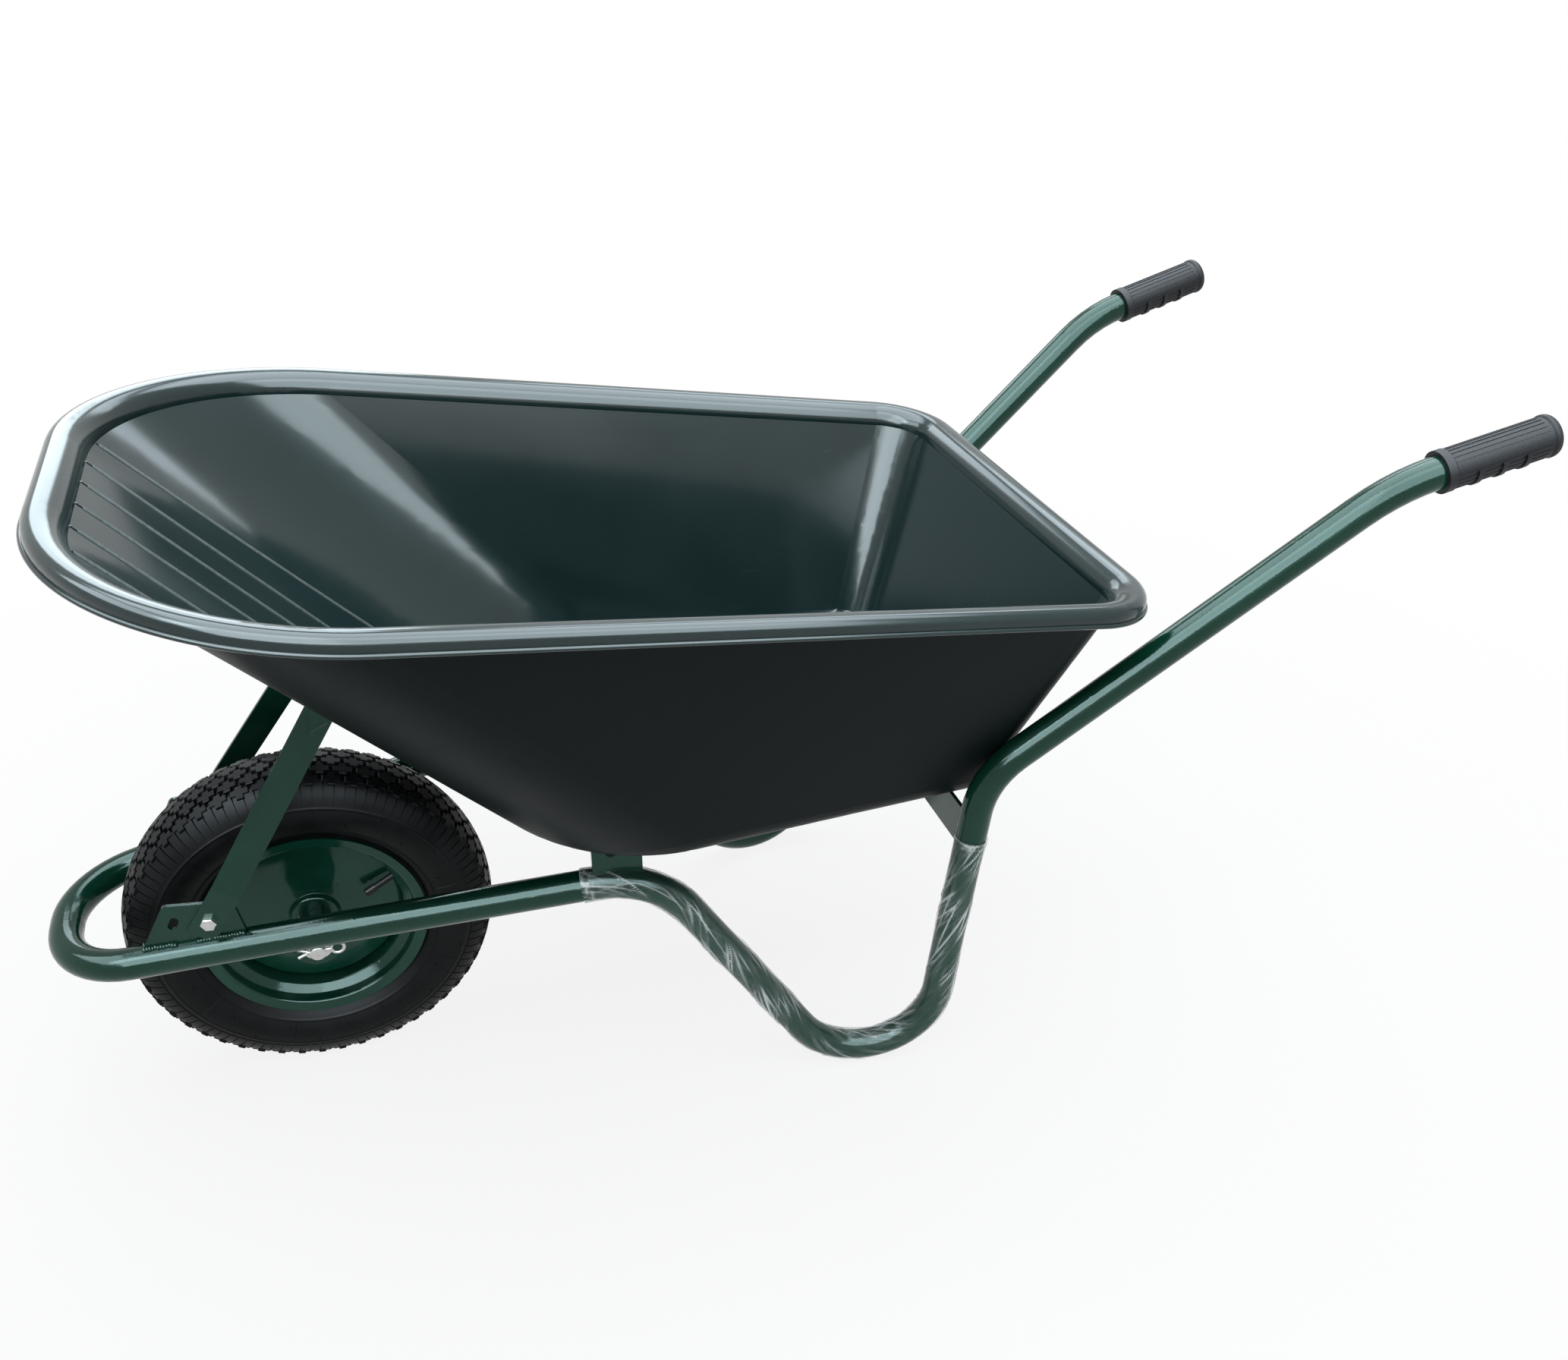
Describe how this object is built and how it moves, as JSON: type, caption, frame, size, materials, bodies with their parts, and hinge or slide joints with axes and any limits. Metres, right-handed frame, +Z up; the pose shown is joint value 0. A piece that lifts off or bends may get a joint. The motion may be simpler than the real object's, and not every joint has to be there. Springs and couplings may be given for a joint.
{
  "type": "wheelbarrow",
  "caption": "Garden wheelbarrow with a deep moulded tray, bent-tube frame with legs and nose loop, pressed struts and a pneumatic front wheel on a pinned axle.",
  "frame": {"origin": "on the floor, below the middle of the bounding box", "axes": "+X back towards the grips, +Y to the user's right, +Z up"},
  "size_m": [1.4123, 0.637, 0.718],
  "materials": {
    "frame_paint": "gloss",
    "wheel_paint": "gloss",
    "tray_plastic": "gloss",
    "grip": "satin",
    "tyre": "matte",
    "air_tube": "matte",
    "zinc": "zinc plated",
    "black_steel": "black satin",
    "bush": "moulded",
    "valve_rubber": "matte",
    "valve_cap": "moulded"
  },
  "bodies": {
    "frame": {"frame_tube": "frame_paint", "grip_left": "grip", "grip_right": "grip", "strut_bracket_left": "frame_paint", "strut_bracket_right": "frame_paint", "tray_strut_left": "frame_paint", "tray_strut_right": "frame_paint", "strut_bolts": "zinc", "strut_nuts": "zinc", "front_cross_member": "frame_paint", "rear_cross_member": "frame_paint", "tray": "tray_plastic", "tray_bolts": "black_steel", "tray_washers": "zinc", "tray_nuts": "zinc", "axle_bracket_left": "frame_paint", "axle_bracket_right": "frame_paint", "axle": "zinc", "axle_washers": "zinc", "split_pins": "zinc"},
    "wheel": {"tyre": "tyre", "inner_tube": "air_tube", "wheel_rim": "wheel_paint", "wheel_disc": "wheel_paint", "hub": "wheel_paint", "bush_left": "bush", "bush_right": "bush", "valve_stem": "valve_rubber", "valve_cap": "valve_cap"}
  },
  "joints": [
    {"name": "wheel_spin", "type": "hinge", "parent": "frame", "child": "wheel", "pos_m": [-0.45716, 0, 0.186], "axis": [0, 1, 0], "continuous": true}
  ]
}
